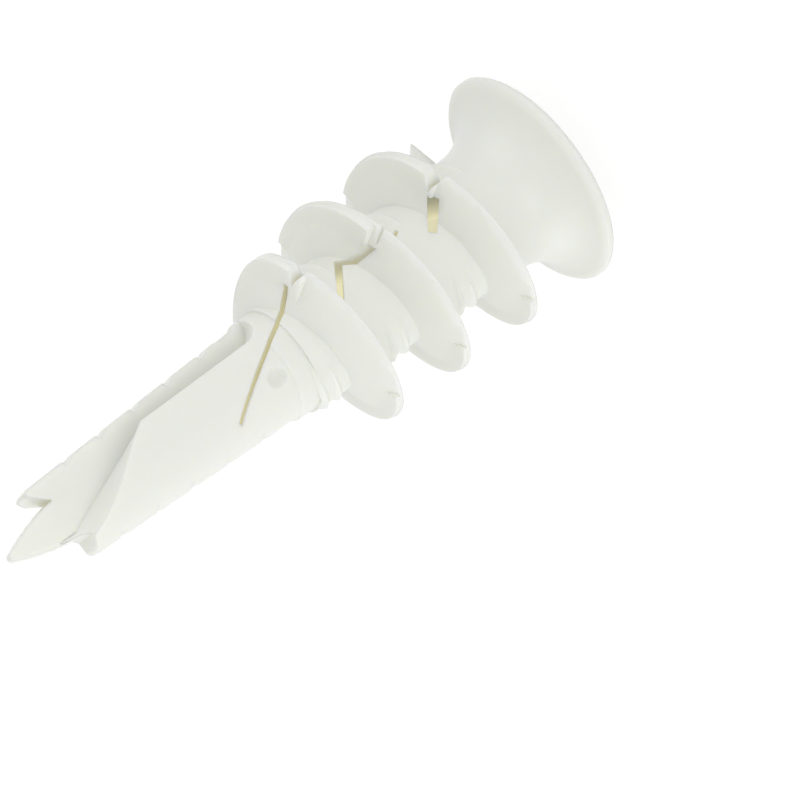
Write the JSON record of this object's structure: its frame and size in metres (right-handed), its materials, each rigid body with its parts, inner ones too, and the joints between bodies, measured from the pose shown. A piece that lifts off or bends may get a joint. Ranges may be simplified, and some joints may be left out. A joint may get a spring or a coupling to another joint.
{
  "type": "self-drilling drywall anchor",
  "caption": "Nylon drywall anchor with flared cross-recess head, coarse high thread, zigzag expansion slit and fluted drill point.",
  "frame": {"origin": "centre of the head's outer face, the face that lies flush with the wall", "axes": "+Z along the anchor's axis from the head to the drill point; +Y away from the side that faces the viewer; the anchor stands on its head"},
  "size_m": [0.0134, 0.0134, 0.0397],
  "materials": {
    "nylon": "satin"
  },
  "bodies": {
    "root": {"anchor_body": "nylon"}
  },
  "joints": []
}
